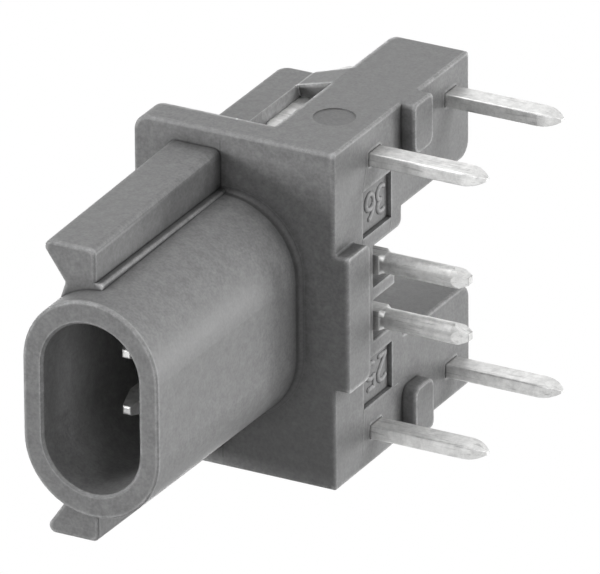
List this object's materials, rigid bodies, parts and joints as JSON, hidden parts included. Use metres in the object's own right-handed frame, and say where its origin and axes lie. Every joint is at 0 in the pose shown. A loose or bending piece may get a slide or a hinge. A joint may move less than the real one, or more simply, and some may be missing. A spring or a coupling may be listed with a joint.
{
  "type": "right-angle board connector",
  "caption": "Right-angle board connector: an oblong keyed socket nose on a flange, with round signal tails and flat board-retention staples.",
  "frame": {"origin": "middle of the front foot's face, which sits on the circuit board", "axes": "+Z away from the board, -Y along the nose towards the mating plug, X across the mirror plane"},
  "size_m": [0.0152, 0.0238, 0.0146],
  "materials": {
    "housing_plastic": "satin moulded grey",
    "staple_metal": "tinned",
    "contact_metal": "tinned"
  },
  "bodies": {
    "root": {"housing": "housing_plastic", "board_staple_right": "staple_metal", "board_staple_left": "staple_metal", "signal_contact_right": "contact_metal", "signal_contact_left": "contact_metal"}
  },
  "joints": []
}
